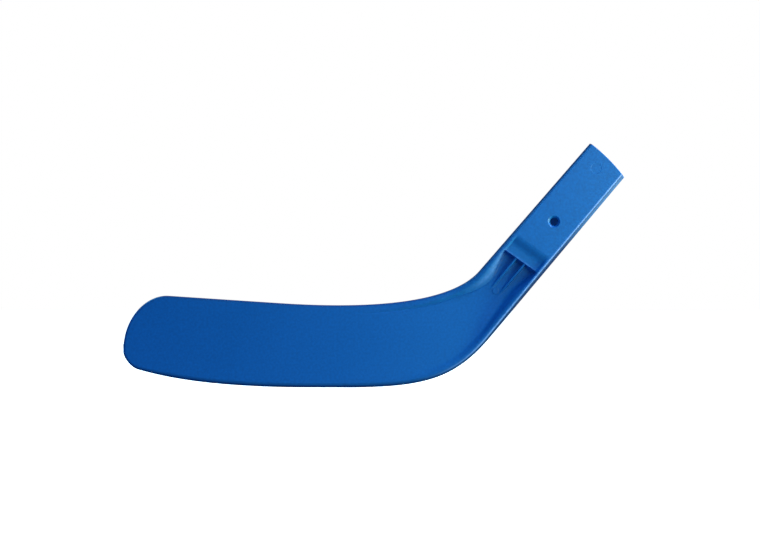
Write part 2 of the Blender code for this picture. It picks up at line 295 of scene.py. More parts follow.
class NeckSizes(bpy.types.PropertyGroup):
    """Slope, lip, gusset ribs and edge flanges between the sleeve and the blade."""

    skew: angle("Lip skew", "Lean of the slope and the lip from square", -5.0)
    slope_start: size("Slope start", "From the mouth to the top of the slope", 90.4)
    slope_run: size("Slope run", "Length of the slope along the shank", 6.4)
    slope_drop: size("Slope drop", "Fall from the sleeve's face to the lip", 2.6)
    lip_run: size("Lip run", "Length of the lip along the shank", 8.0)
    pocket_draft: size("Pocket draft", "Lean of the wall below the lip", 0.8)
    slope_rounding: size("Slope rounding", "Rounding of the slope's two bends", 2.0)
    lip_rounding: size("Lip rounding", "Rounding of the lip's end and the pocket's foot", 0.45)
    rib_length: size("Rib length", "Length of the two gusset ribs", 30.0)
    rib_pitch: size("Rib pitch", "Distance between the ribs", 8.0)
    rib_thick: size("Rib thickness", "Thickness of a rib at its top", 1.6)
    rib_root: size("Rib root", "Thickness of a rib at its root", 2.2)
    rib_setdown: size("Rib set-down", "How far a rib starts below the lip", 1.0)
    rib_fillet: size("Rib fillet", "Rounding along a rib's foot", 0.7)
    bead: size("Bead height", "Height of the low bead that a flange ends in", 1.2)
    throat_fall: size("Throat flange fall", "Length over which the throat flange falls to its bead", 80.0)
    throat_fade: size("Throat bead fade", "Length over which the throat bead fades out", 75.0)
    throat_crest: size("Throat crest", "Width of the throat flange's top", 4.0)
    throat_foot_lip: size("Throat foot at lip", "From the edge to the flange's foot, at the lip", 5.6)
    throat_foot_neck: size("Throat foot in neck", "From the edge to the flange's foot, where widest", 12.0)
    throat_foot_end: size("Throat foot at end", "From the edge to the flange's foot, on the blade", 6.6)
    heel_fall: size("Heel flange fall", "Length over which the heel flange falls to its bead", 105.0)
    heel_fade: size("Heel bead fade", "Length over which the heel bead fades out", 35.0)
    heel_crest: size("Heel crest", "Width of the heel flange's top", 3.4)
    heel_foot_lip: size("Heel foot at lip", "From the edge to the flange's foot, at the lip", 6.4)
    heel_foot_neck: size("Heel foot in neck", "From the edge to the flange's foot, where widest", 12.0)
    heel_foot_end: size("Heel foot at end", "From the edge to the flange's foot, on the blade", 9.0)
    foot_widen: size("Foot widening", "Length over which the flange feet widen", 21.0)
    foot_narrow: size("Foot narrowing", "Length over which the flange feet narrow again", 45.0)
    groove: size("Throat groove", "Depth of the crease along the foot of the throat bead", 0.35)
    groove_width: size("Throat groove width", "Half the width of the crease", 0.6)
    pad: size("Pin pad", "Diameter of the raised ejector pad at the ribs' end", 5.6)
    pad_height: size("Pin pad height", "Height of the raised ejector pad", 0.35)


class BladeSizes(bpy.types.PropertyGroup):
    """The flat blade and its outline, measured from the heel point."""

    heel_thick: size("Heel thickness", "Thickness of the blade at the heel", 8.0)
    toe_thick: size("Toe thickness", "Thickness of the blade at the toe", 7.0)
    sleeve_edge: size("Sleeve edge", "Rounding of the sleeve's long edges", 1.2)
    top_edge: size("Top edge", "Rounding of the blade's top edge", 1.8)
    sole_edge: size("Sole edge", "Rounding of the blade's sole", 3.8)
    toe_edge: size("Toe edge", "Rounding of the toe", 2.2)
    parting: size("Parting line", "Height of the mould's parting line on the edges", 0.1)
    length: size("Blade length", "From the heel point to the toe's tip", 261.2)
    tip_drop: size("Tip drop", "Tip below the heel point", 5.0)
    top_rise: size("Top rise", "Top edge above the heel point", 33.6)
    top_reach: size("Top reach", "From the heel point to the start of the straight top", 135.0)
    top_slope: angle("Top slope", "Climb of the top edge towards the toe", 3.7)
    toe_top_setback: size("Toe top setback", "From the tip back to the end of the straight top", 36.4)
    sole_drop: size("Sole drop", "Sole below the heel point", 33.4)
    sole_reach: size("Sole reach", "From the heel point to the lowest point of the sole", 106.4)
    toe_sole_setback: size("Toe sole setback", "From the tip back to the end of the rocker", 11.8)
    toe_sole_drop: size("Toe sole drop", "End of the rocker below the heel point", 19.4)
    toe_sole_slope: angle("Toe sole slope", "Climb of the rocker where it ends", 16.0)
    throat_setback: size("Throat setback", "From the heel point to the straight throat side's end", 60.8)
    heel_setback: size("Heel setback", "From the heel point to the straight heel side's end", 25.0)


class PlasticLook(bpy.types.PropertyGroup):
    """The self-coloured plastic."""

    base: colour("Colour", "Colour of the plastic", (0.0002, 0.0887, 0.3650))
    # Painted highlight colour for rounded edges and walls
    pale: colour("Pale colour", "Colour of rubbed edges and walls", (0.150, 0.250, 0.750))
    mottle: share("Mottle", "How much the tone varies from speck to speck", 0.26)
    # Painted shade colour for the side walls
    wall: colour("Wall colour", "Colour of the smooth drawn side walls", (0.0005, 0.019, 0.125))
    # Painted shade colour for pockets and hollows
    deep: colour("Deep colour", "Colour that the plastic shows deep in a pocket", (0.002, 0.018, 0.200))
    roughness: share("Roughness", "Mean roughness of the moulded surface", 0.50)
    specular: share("Specular level", "Strength of the plain reflection", 0.52)
    grain: size("Grain", "Size of the spark-eroded grain", 0.45)
    ripple: size("Ripple", "Size of the faint ripple of the cooled face", 7.0)


class StudioLook(bpy.types.PropertyGroup):
    """Floor, lights and camera."""

    floor: colour("Floor colour", "Colour of the floor", (0.93, 0.93, 0.93))
    floor_glow: FloatProperty(
        name="Floor glow",
        description="Light that the floor gives off by itself",
        default=1.0,
        min=0.0,
        subtype="FACTOR",
    )
    lamp: colour("Lamp colour", "Colour of the lamps on the front", (0.74, 1.0, 0.51))
    cool: colour("Cool lamp colour", "Colour of the tip, edge and back lamps", (0.60, 0.76, 1.0))
    surround: colour("Surround colour", "Colour of the fill lamp and the soft ring", (0.095, 0.600, 1.0))
    overhead: colour("Overhead colour", "Colour of the soft light from above", (0.038, 0.189, 0.345))
    key: watts("Key light", "Power of the low softbox on the heel's side", 5.9)
    upper: watts("Upper light", "Power of the higher softbox on the heel's side", 1.6)
    front: watts("Front light", "Power of the small softbox in front of the shank's mouth", 0.06)
    tip: watts("Tip light", "Power of the spot lamp that looks into the shank's mouth", 54.0)
    edge: watts("Edge light", "Power of the small softbox behind the shank's heel side", 0.05)
    back: watts("Back light", "Power of the softbox behind the blade", 50.0)
    fill: watts("Fill light", "Power of the softbox above and behind the toe", 16.0)
    azimuth: angle("Camera azimuth", "Camera's turn from the front towards the shank", 5.0)
    elevation: angle("Camera elevation", "Camera's height above the blade's middle", 0.0)
    distance: FloatProperty(
        name="Camera distance", description="From the camera to the blade", default=2.4, unit="LENGTH"
    )
    frame_width: FloatProperty(
        name="Frame width", description="Width of the view at the blade", default=0.6045, unit="LENGTH"
    )


def plain(group):
    """A group's sizes in millimetres, with its angles in radians."""
    found = {}
    for name in group.__annotations__:
        value = getattr(group, name)
        if group.bl_rna.properties[name].unit == "LENGTH":
            value = value / MM
        found[name] = value
    return SimpleNamespace(**found)


def mix(low, high, part):
    """The value this part of the way from low to high."""
    return low + (high - low) * part


def ramp(value, start, end):
    """How far a value is from start to end, kept between 0 and 1."""
    return np.clip((value - start) / (end - start), 0.0, 1.0)


def ease(part):
    """A part of the way with a soft start and end."""
    return part * part * (3.0 - 2.0 * part)


def bell(offset, width):
    """A soft mark: 1 at its middle, falling off with the offset."""
    return np.exp(-((offset / width) ** 2))


def wall_ease(part):
    """Share of the fall down a wall: rounded at its crest and foot, straight between."""
    bend = WALL_ROUNDING
    crest = part**2 / (2 * bend * (1 - bend))
    foot = 1.0 - (1.0 - part) ** 2 / (2 * bend * (1 - bend))
    straight = (part - bend / 2) / (1 - bend)
    return np.where(part < bend, crest, np.where(part > 1 - bend, foot, straight))


def heading(climb):
    """Unit vector that points to -X and climbs at this angle."""
    return np.array((-math.cos(climb), math.sin(climb)))


def edge_curve(start, start_way, end, end_way, pull):
    """Points of a smooth curve that leaves start along start_way and reaches end along end_way."""
    reach = np.linalg.norm(end - start)
    near = start + start_way * reach * pull[0]
    far = end - end_way * reach * pull[1]
    part = np.linspace(0.0, 1.0, CURVE_STEPS + 1)[:, None]
    rest = 1.0 - part
    return start * rest**3 + near * 3 * rest**2 * part + far * 3 * rest * part**2 + end * part**3


def distance_to(edge, points):
    """Shortest distance from each point to a chain of straight pieces."""
    start = edge[:-1]
    run = edge[1:] - start
    square = np.maximum((run * run).sum(axis=1), TINY)
    offset = points[:, None, :] - start[None]
    part = np.clip((offset * run).sum(axis=2) / square, 0.0, 1.0)
    gap = offset - run * part[..., None]
    return np.sqrt((gap * gap).sum(axis=2).min(axis=1))


def crossing(edge, point, way):
    """Where the line through point along way meets an edge, nearest to the point."""
    square = np.array((-way[1], way[0]))
    offset = (edge - point) @ square
    hits = np.nonzero((offset[:-1] * offset[1:] <= 0.0) & (offset[:-1] != offset[1:]))[0]
    part = offset[hits] / (offset[hits] - offset[hits + 1])
    found = edge[hits] + (edge[hits + 1] - edge[hits]) * part[:, None]
    return found[np.abs((found - point) @ way).argmin()]


def edge_drop(radius, inset):
    """How far a round edge falls below the face, this far in from the edge."""
    short = np.clip(radius - inset, 0.0, radius)
    return radius - np.sqrt(radius * radius - short * short)


class Form:
    """Shape of the moulding, worked out from its sizes in millimetres."""

    def __init__(self, scene):
        self.shank = plain(scene.blade_shank)
        self.neck = plain(scene.blade_neck)
        self.blade = plain(scene.blade_plate)
        shank, neck, blade = self.shank, self.neck, self.blade
        self.face = shank.thick / 2
        self.lip = self.face - neck.slope_drop
        self.slope_end = neck.slope_start + neck.slope_run
        self.lip_end = self.slope_end + neck.lip_run
        self.rib_start = self.lip_end + neck.pocket_draft
        self.rib_end = self.rib_start + neck.rib_length
        lie = shank.lie
        self.axis = np.array((-math.cos(lie), -math.sin(lie)))
        self.across = np.array((-math.sin(lie), math.cos(lie)))
        self.heel_point = self.axis * shank.length
        self.tip = self.heel_point + np.array((-blade.length, -blade.tip_drop))
        self.bend_radius = (shank.length - self.rib_end) / math.tan(lie / 2)
        self.bend_centre = self.axis * self.rib_end + self.across * self.bend_radius
        self.bend_end = self.rib_end + self.bend_radius * lie
        self.end = self.bend_end + self.bend_centre[0] - self.tip[0]
        self.toe_start = self.end - blade.toe_top_setback
        self.flanges = {side: self.flange_sizes(side + "_") for side in ("heel", "throat")}
        self.upper = self.throat_edge()
        self.lower = self.heel_edge()

    def flange_sizes(self, start):
        """The neck's sizes for one edge's flange, by the rest of their names."""
        found = {}
        for name, value in vars(self.neck).items():
            if name.startswith(start):
                found[name.removeprefix(start)] = value
        return SimpleNamespace(**found)

    def shank_side(self, side, setback):
        """Way along a straight side of the shank, its start outside the mouth and its end."""
        taper = self.shank.taper * side
        way = self.axis * math.cos(taper) + self.across * math.sin(taper)
        corner = self.across * self.shank.width / 2 * side
        return way, corner - way * self.shank.width / 2, corner + way * (self.shank.length - setback)

    def throat_edge(self):
        """Upper edge, from outside the mouth, round the throat and along the top to the tip."""
        blade = self.blade
        way, outside, straight_end = self.shank_side(1, blade.throat_setback)
        top_way = heading(blade.top_slope)
        top_start = self.heel_point + np.array((-blade.top_reach, blade.top_rise))
        top_run = (blade.length - blade.toe_top_setback - blade.top_reach) / math.cos(blade.top_slope)
        top_end = top_start + top_way * top_run
        throat = edge_curve(straight_end, way, top_start, top_way, THROAT_PULL)
        toe = edge_curve(top_end, top_way, self.tip, heading(-math.pi / 2), TOE_TOP_PULL)
        return np.vstack([outside[None], throat, toe])

    def heel_edge(self):
        """Lower edge, from outside the mouth, round the heel and along the sole to the tip."""
        blade = self.blade
        way, outside, straight_end = self.shank_side(-1, blade.heel_setback)
        sole = self.heel_point + np.array((-blade.sole_reach, -blade.sole_drop))
        corner = self.heel_point + np.array((blade.toe_sole_setback - blade.length, -blade.toe_sole_drop))
        corner_way = heading(blade.toe_sole_slope)
        heel = edge_curve(straight_end, way, sole, heading(0.0), HEEL_PULL)
        rocker = edge_curve(sole, heading(0.0), corner, corner_way, ROCKER_PULL)
        toe = edge_curve(corner, corner_way, self.tip, heading(math.pi / 2), TOE_SOLE_PULL)
        return np.vstack([outside[None], heel, rocker[1:], toe[1:]])

    def section_line(self, length):
        """Point of the middle line this far from the mouth, and the way across to the upper edge."""
        lie = self.shank.lie
        turn = min(max(length - self.rib_end, 0.0) / self.bend_radius, lie)
        lean = lie + math.pi / 2 - turn
        square = np.array((math.cos(lean), math.sin(lean)))
        if length <= self.rib_end:
            point = self.axis * length
        else:
            point = self.bend_centre - square * self.bend_radius
            point = point + np.array((min(self.bend_end - length, 0.0), 0.0))
        if length < self.neck.slope_start:
            lean -= mix(self.shank.mouth_skew, self.neck.skew, length / self.neck.slope_start)
        else:
            lean -= mix(self.neck.skew, 0.0, ramp(length, self.lip_end, self.rib_end))
        return point, np.array((math.cos(lean), math.sin(lean)))

    def web(self, length):
        """Half the thickness of the blade."""
        return mix(self.blade.heel_thick, self.blade.toe_thick, ramp(length, self.rib_end, self.end)) / 2

    def floor(self, length):
        """Half thickness between the flanges, with the slope's and the lip's edges rounded."""
        on_slope = length < self.slope_end + LIP_FLAT
        reach = self.neck.slope_rounding if on_slope else self.neck.lip_rounding
        near = length + np.linspace(-1.0, 1.0, ROUNDING_SAMPLES) * reach
        step = mix(self.face, self.lip, ramp(near, self.neck.slope_start, self.slope_end))
        drop = mix(self.lip, self.web(near), ramp(near, self.lip_end, self.rib_start))
        return np.where(near > self.slope_end, drop, step).mean()

    def rib_rise(self, length):
        """Height of a gusset rib above the floor, with a soft tail on the web."""
        if length < self.lip_end - LIP_MARGIN:
            return 0.0
        start = self.lip - self.neck.rib_setdown
        fall = (start - self.web(length)) / self.neck.rib_length
        gap = start - fall * (length - self.rib_start) - self.floor(length)
        if gap <= -RIB_GONE:
            return 0.0
        return max((gap + math.hypot(gap, RIB_SOFTNESS)) / 2 - RIB_SINK, 0.0)

    def flange_top(self, length, sizes):
        """Half thickness over an edge flange."""
        fall_end = self.neck.slope_start + sizes.fall
        bead = self.neck.bead * (1.0 - ease(ramp(length, fall_end, fall_end + sizes.fade)))
        return mix(self.face, self.web(length) + bead, ease(ramp(length, self.neck.slope_start, fall_end)))

    def flange_foot(self, length, sizes):
        """Distance from an edge to the foot of its flange: widest in the neck."""
        widest = self.lip_end + self.neck.foot_widen
        if length < widest:
            return mix(sizes.foot_lip, sizes.foot_neck, ramp(length, self.lip_end, widest))
        narrowing = ease(ramp(length, widest, widest + self.neck.foot_narrow))
        return mix(sizes.foot_neck, sizes.foot_end, narrowing)

    def edge_radius(self, length, blade_radius):
        """Rounding of an edge: small on the sleeve, then the blade's, then the toe's."""
        if length < self.bend_end:
            return mix(self.blade.sleeve_edge, blade_radius, ramp(length, self.lip_end, self.bend_end))
        return mix(blade_radius, self.blade.toe_edge, ramp(length, self.toe_start, self.end))

    def flange_points(self, radius, draft, crest, top, foot, low):
        """Distances in from an edge and half thicknesses there, from the edge to past the flange's foot."""
        round_edge = draft + radius * (1.0 - np.cos(np.linspace(0.0, math.pi / 2, CORNER_STEPS + 1)))
        crest = max(crest, draft + radius + CREST_LEAST)
        foot = max(foot, crest + WALL_LEAST)
        part = np.linspace(0.0, 1.0, WALL_STEPS + 1)
        beyond = foot + np.linspace(0.0, 2 * self.neck.groove_width, FOOT_STEPS + 1)[1:]
        inset = np.concatenate([round_edge, mix(crest, foot, part), beyond])
        wall = mix(top, low, wall_ease(part))
        height = np.concatenate([np.full(len(round_edge), top), wall, np.full(FOOT_STEPS, low)])
        return inset, height

    def flange_section(self, length, side, edge_rounding, low):
        """One edge's flange: its rounding, draft, crest and foot, and its points from the edge inwards."""
        sizes = self.flanges[side]
        radius = self.edge_radius(length, edge_rounding)
        top = self.flange_top(length, sizes)
        draft = (top - radius) * math.tan(self.shank.draft)
        foot = self.flange_foot(length, sizes)
        inset, height = self.flange_points(radius, draft, sizes.crest, top, foot, low)
        return SimpleNamespace(
            radius=radius, draft=draft, crest=sizes.crest, foot=foot, inset=inset, height=height
        )

    def rib_side(self, middle, rise, low):
        """Distances and half thicknesses over one rib, from its heel side to its throat side."""
        fillet = self.neck.rib_fillet
        half_root, half_top = self.neck.rib_root / 2, self.neck.rib_thick / 2
        foot = min(1.0, rise / (2 * fillet))
        top = min(1.0, rise / RIB_TOP_FULL)
        side = [(half_root + fillet * out, fillet * up * foot) for out, up in RIB_FOOT]
        side.append((mix(half_root, half_top, 0.5), rise * 0.5))
        for inwards, down in RIB_TOP:
            side.append((half_top - inwards, max(rise - down * top, rise * RIB_TOP_LEAST)))
        offset = np.array([-reach for reach, _ in side] + [0.0] + [reach for reach, _ in reversed(side)])
        height = np.array([lift for _, lift in side] + [rise] + [lift for _, lift in reversed(side)])
        return middle + offset, low + height

    def front_line(self, length, centre, full, low, heel, throat):
        """Distances from the heel's edge and half thicknesses there, across the whole front."""
        rise = self.rib_rise(length)
        half_pitch = self.neck.rib_pitch / 2
        first, first_height = self.rib_side(centre - half_pitch, rise, low)
        second, second_height = self.rib_side(centre + half_pitch, rise, low)
        last = full - throat.inset[::-1]
        gaps = [
            np.linspace(heel.inset[-1], first[0], POCKET_STEPS + 1)[1:-1],
            np.linspace(first[-1], second[0], RIB_GAP_STEPS + 1)[1:-1],
            np.linspace(second[-1], last[0], POCKET_STEPS + 1)[1:-1],
        ]
        flat = [np.full(len(gap), low) for gap in gaps]
        distance = [heel.inset, gaps[0], first, gaps[1], second, gaps[2], last]
        height = [heel.height, flat[0], first_height, flat[1], second_height, flat[2], throat.height[::-1]]
        return np.concatenate(distance), np.concatenate(height)

    def marks(self, length, from_heel, from_throat, heel, throat):
        """Painted shade and painted highlight at each point of the front: how much of each it gets."""
        # Painted shade: on the round edges, darkest where they turn into the side walls, and at the slope's
        # foot
        throat_shade_onset = mix(1.0, WALL_SHADE_ONSET, ramp(length, *THROAT_SHADE_ONSET))
        throat_wall = (throat.drop / throat.radius) ** throat_shade_onset
        heel_wall = (heel.drop / heel.radius) ** WALL_SHADE_ONSET
        between = ease(ramp(from_heel, heel.foot - FLANGE_BLEND, heel.foot + FLANGE_BLEND))
        between = between * ease(ramp(from_throat, throat.foot - FLANGE_BLEND, throat.foot + FLANGE_BLEND))
        slope_foot = bell(length - self.slope_end + SLOPE_SHADE_BACK, SLOPE_SHADE_WIDTH)
        wall = np.maximum(np.maximum(throat_wall, heel_wall), SLOPE_SHADE * between * slope_foot)
        # Painted highlight: along the heel's ridge, on the throat wall, and at the lip's end
        ridge = heel.draft + RIDGE_PLACE * heel.radius
        rub = bell(from_heel - ridge, RIDGE_WIDTH) * self.rubbing(length)
        slope_middle = (throat.crest + throat.foot) / 2
        rub = rub + bell(from_throat - slope_middle, SHEEN_WIDTH) * self.sheen(length)
        lip_end = bell(length - self.lip_end + LIP_HIGHLIGHT_BACK, LIP_HIGHLIGHT_WIDTH)
        return wall, rub + LIP_HIGHLIGHT * between * lip_end

    def ring(self, length):
        """One ring of points round the moulding: front from heel to throat, then the back."""
        middle, way = self.section_line(length)
        throat_end = crossing(self.upper, middle, way)
        heel_end = crossing(self.lower, middle, way)
        width = np.linalg.norm(throat_end - heel_end)
        full = max(width, self.shank.width)
        centre = np.linalg.norm(middle - heel_end) * full / width
        low = self.floor(length)
        heel = self.flange_section(length, "heel", self.blade.sole_edge, low)
        throat = self.flange_section(length, "throat", self.blade.top_edge, low)
        distance, height = self.front_line(length, centre, full, low, heel, throat)
        points = heel_end + (throat_end - heel_end) * (distance / full)[:, None]
        heel.drop = edge_drop(heel.radius, distance_to(self.lower, points) - heel.draft)
        throat.drop = edge_drop(throat.radius, distance_to(self.upper, points) - throat.draft)
        crease = bell(full - distance - throat.foot, self.neck.groove_width) * self.crease(length)
        depth = height - np.maximum(throat.drop, heel.drop) - crease
        wall, rub = self.marks(length, distance, full - distance, heel, throat)
        front = np.column_stack([points[:, 0], -depth, points[:, 1], wall, rub])
        throat_wall = self.side_wall(front[-1], throat_end, way)
        heel_wall = self.side_wall(front[0], heel_end, -way) * MIRRORED
        # Near the mouth the heel's side wall gets less painted shade and a painted highlight
        highlight_share = 1.0 - ease(ramp(length, *MOUTH_LIGHT_FADE))
        heel_wall[:, PAINTED_SHADE_MARK] = 1.0 - MOUTH_SHADE_CLEARING * highlight_share
        heel_wall[:, PAINTED_HIGHLIGHT_MARK] = MOUTH_HIGHLIGHT * highlight_share
        return np.vstack([front, throat_wall, front[::-1] * MIRRORED, heel_wall])

    def crease(self, length):
        """Depth of the crease at the throat bead's foot: deepest round the throat."""
        begin = self.rib_start + CREASE_DELAY
        end = self.neck.slope_start + self.neck.throat_fall + self.neck.throat_fade
        coming = ease(ramp(length, begin, begin + CREASE_FADE))
        going = ease(1.0 - ramp(length, end - CREASE_FADE, end + CREASE_FADE))
        return self.neck.groove * coming * going

    def rubbing(self, length):
        """Strength of the painted highlight on the heel side's ridge: all along the shank, and fading on the
        sole.
        """
        return 1.0 - ease(ramp(length - self.bend_end, *RIDGE_FADE))

    def sheen(self, length):
        """Strength of the painted sheen on the throat wall: most beside the ribs."""
        coming = ease(ramp(length - self.lip_end, *SHEEN_ONSET))
        going = ease(1.0 - ramp(length - self.rib_end, *SHEEN_FADE))
        return SHEEN * coming * going

    def side_wall(self, corner, edge, way):
        """Points across an edge from its front corner to its back one, over the parting line."""
        reach = abs(corner[1])
        inner = np.array((corner[0], corner[2]))
        shoulder = PARTING_WIDTH / max(reach, 2 * PARTING_WIDTH)
        points = []
        for place, lift in ((-0.5, 0.0), (-shoulder, 0.0), (0.0, self.blade.parting)):
            spot = mix(edge, inner, abs(place)) + way * lift
            # The side walls get full painted shade and no painted highlight
            points.append((spot[0], place * reach, spot[1], 1.0, 0.0))
        points += [(x, -y, z, wall, rub) for x, y, z, wall, rub in reversed(points[:2])]
        return np.array(points)

    def stations(self):
        """Distances from the mouth at which the moulding gets a ring, out to the toe."""
        # Each stretch's start and its number of rings
        stretches = (
            (self.shank.rim, 1),
            (self.shank.rim + RIM_STEP, SLEEVE_STEPS),
            (self.neck.slope_start - BEND_MARGIN, 30),
            (self.slope_end + BEND_MARGIN, 6),
            (self.lip_end - LIP_MARGIN, 16),
            (self.rib_start + LIP_MARGIN, 40),
            (self.rib_end + RIB_TAIL, 64),
            (self.bend_end, 40),
            (self.toe_start, TOE_STEPS),
        )
        found = []
        for (start, count), (end, _) in zip(stretches, stretches[1:]):
            found.append(np.linspace(start, end, count, endpoint=False))
        turn = np.sin(np.linspace(0.0, math.pi / 2, TOE_STEPS + 1))
        found.append(mix(self.toe_start, self.end - TIP_GAP, turn))
        return np.concatenate(found)

    def bowed(self, ring):
        """A ring near the mouth, bulged along the shank between the mouth's corners."""
        part = np.clip(ring[:, (0, 2)] @ self.across / (self.shank.width / 2), -1.0, 1.0)
        shift = self.axis * -self.shank.mouth_bow
        return ring + np.outer(1.0 - part**2, (shift[0], 0.0, shift[1], 0.0, 0.0))

    def rim_rings(self, outer):
        """Rings from the first outer one over the rounded rim to the mouth's plane."""
        shank = self.shank
        middle = self.axis * shank.rim
        rings = []
        for turn in np.linspace(0.0, math.pi / 2, RIM_STEPS + 1)[1:]:
            inset = shank.rim * (1.0 - math.cos(turn))
            shift = -self.axis * shank.rim * math.sin(turn)
            flat = (outer[:, (0, 2)] - middle) * (1.0 - 2 * inset / shank.width) + middle + shift
            depth = outer[:, 1] * (1.0 - inset / self.face)
            rings.append(np.column_stack([flat[:, 0], depth, flat[:, 1], outer[:, PAINTED_SHADE_MARK:]]))
        return rings

    def socket_ring(self, rim, depth, spread):
        """The socket's outline at a depth, with one point on the ray to each point of the rim."""
        shank = self.shank
        slant = math.tan(shank.mouth_skew) * (1.0 - depth / shank.socket_depth)
        half_thick = self.socket_wall(depth) + spread / 2
        half_wide = half_thick + (shank.socket_width - shank.socket_thick) / 2
        corner = shank.socket_corner
        ray = np.column_stack([rim[:, (0, 2)] @ self.across, rim[:, 1]])
        reach = np.maximum(np.abs(ray), TINY)
        point = ray * np.minimum(half_wide / reach[:, 0], half_thick / reach[:, 1])[:, None]
        middle = np.sign(ray) * np.array((half_wide - corner, half_thick - corner))
        in_corner = (np.abs(point) > np.abs(middle)).all(axis=1)
        unit = ray / np.linalg.norm(ray, axis=1)[:, None]
        along = (unit * middle).sum(axis=1)
        inside = np.maximum(along**2 - (middle**2).sum(axis=1) + corner**2, 0.0)
        point = np.where(in_corner[:, None], unit * (along + np.sqrt(inside))[:, None], point)
        flat = self.axis * (depth - point[:, :1] * slant) + self.across * point[:, :1]
        return np.column_stack([flat[:, 0], point[:, 1], flat[:, 1], np.zeros((len(flat), 2))])

    def rings(self):
        """All rings from the socket's floor over the rim to the toe, and how many come before the outside."""
        shank = self.shank
        outer = [self.ring(length) for length in self.stations()]
        rim = [self.bowed(ring) for ring in self.rim_rings(outer[0])]
        outer[:2] = [self.bowed(ring) for ring in outer[:2]]
        depths = (
            shank.socket_depth,
            shank.screw_distance + SCREW_PANEL,
            shank.screw_distance - SCREW_PANEL,
            shank.chamfer,
        )
        inner = [self.socket_ring(rim[-1], depth, 0.0) for depth in depths]
        inner.append(self.bowed(self.socket_ring(rim[-1], 0.0, 2 * shank.chamfer)))
        return inner + rim[::-1] + outer, len(inner) + len(rim)

    def socket_wall(self, depth):
        """Half the socket's thickness at a depth."""
        return (self.shank.socket_thick - self.shank.socket_draw * depth / self.shank.socket_depth) / 2

    def on_face(self, distance, offset, radius, turn):
        """Points of a circle on the shank: their distances from the mouth, and their X and Z."""
        along = distance + radius * np.cos(turn)
        flat = self.axis * along[:, None] + self.across * (offset + radius * np.sin(turn))[:, None]
        return along, flat


def skin(work, rings, gaps):
    """Faces through equal rings of points in millimetres, capped at both ends, less some gaps."""
    # Marks that the material reads: the share of painted shade and of painted highlight
    marks = [work.verts.layers.float.new(name) for name in ("wall", "rub")]
    rows = []
    for ring in rings:
        rows.append([work.verts.new(point) for point in ring[:, :PAINTED_SHADE_MARK] * MM])
        for vert, values in zip(rows[-1], ring[:, PAINTED_SHADE_MARK:]):
            for mark, value in zip(marks, values):
                vert[mark] = value
    count = len(rows[0])
    for row, (near, far) in enumerate(zip(rows, rows[1:])):
        for column in range(count):
            if any(top <= row < end and left <= column < right for top, end, left, right in gaps):
                continue
            after = (column + 1) % count
            work.faces.new((near[column], near[after], far[after], far[column]))
    work.faces.new(list(reversed(rows[0])))
    work.faces.new(rows[-1])
    return rows


def gap_border(work, rows, gap):
    """Edges round a gap in the skin."""
    top, end, left, right = gap
    path = [rows[top][column] for column in range(left, right)]
    path += [rows[row][right] for row in range(top, end)]
    path += [rows[end][column] for column in range(right, left, -1)]
    path += [rows[row][left] for row in range(end, top, -1)]
    return [work.edges.get(pair) for pair in zip(path, path[1:] + path[:1])]


def tube(work, form, distance, offset, profile):
    """Rings of a round feature square to the face, from (radius, place through the shank) pairs."""
    turn = np.linspace(0.0, 2 * math.pi, CIRCLE_STEPS, endpoint=False)
    rings = []
    for radius, through in profile:
        along, flat = form.on_face(distance, offset, radius, turn)
        place = -form.socket_wall(along) if through is None else np.full(CIRCLE_STEPS, through)
        points = np.column_stack([flat[:, 0], place, flat[:, 1]]) * MM
        rings.append([work.verts.new(point) for point in points])
    for near, far in zip(rings, rings[1:]):
        for index in range(CIRCLE_STEPS):
            after = (index + 1) % CIRCLE_STEPS
            work.faces.new((near[index], near[after], far[after], far[index]))
    return rings


def ring_edges(work, ring):
    """Edges round a closed ring of points."""
    return [work.edges.get(pair) or work.edges.new(pair) for pair in zip(ring, ring[1:] + ring[:1])]


def fill(work, edges):
    """Flat faces inside an outline and round the holes in it."""
    bmesh.ops.triangle_fill(work, use_beauty=True, use_dissolve=False, edges=edges, normal=(0.0, -1.0, 0.0))


def screw_hole(work, form):
    """The countersunk hole through the front wall, with a soft rim: its first and last ring."""
    shank = form.shank
    hole, sink, deep = shank.screw_hole / 2, shank.countersink / 2, shank.countersink_depth
    face = -form.face
    profile = [(sink + out, face + down) for out, down in COUNTERSINK_RIM]
    rim_depth = COUNTERSINK_RIM[-1][1]
    for inwards, down in COUNTERSINK_CONE:
        profile.append((mix(sink, hole, inwards), face + mix(rim_depth, deep, down)))
    profile += [(hole, face + deep), (hole, None)]
    rings = tube(work, form, shank.screw_distance, 0.0, profile)
    return rings[0], rings[-1]


def pin_mark(work, form):
    """The shallow round mark of an ejector pin on the sleeve's face: its rings."""
    shank = form.shank
    face, reach = -form.face, shank.pin_mark / 2
    profile = [(reach, face), (reach - PIN_SLOPE, face + shank.pin_sink)]
    rings = tube(work, form, shank.pin_distance, shank.pin_offset, profile)
    work.faces.new(rings[-1])
    return rings


def pin_pad(work, form):
    """The low round ejector pad between the ends of the ribs, set into the web."""
    web, reach, lift = -form.web(form.rib_end), form.neck.pad / 2, form.neck.pad_height
    profile = [(reach, web + PAD_ROOT)]
    profile += [(reach - inwards, web - lift * up) for inwards, up in PAD_EDGE]
    rings = tube(work, form, form.rib_end, 0.0, profile)
    work.faces.new(rings[0])
    work.faces.new(rings[-1])


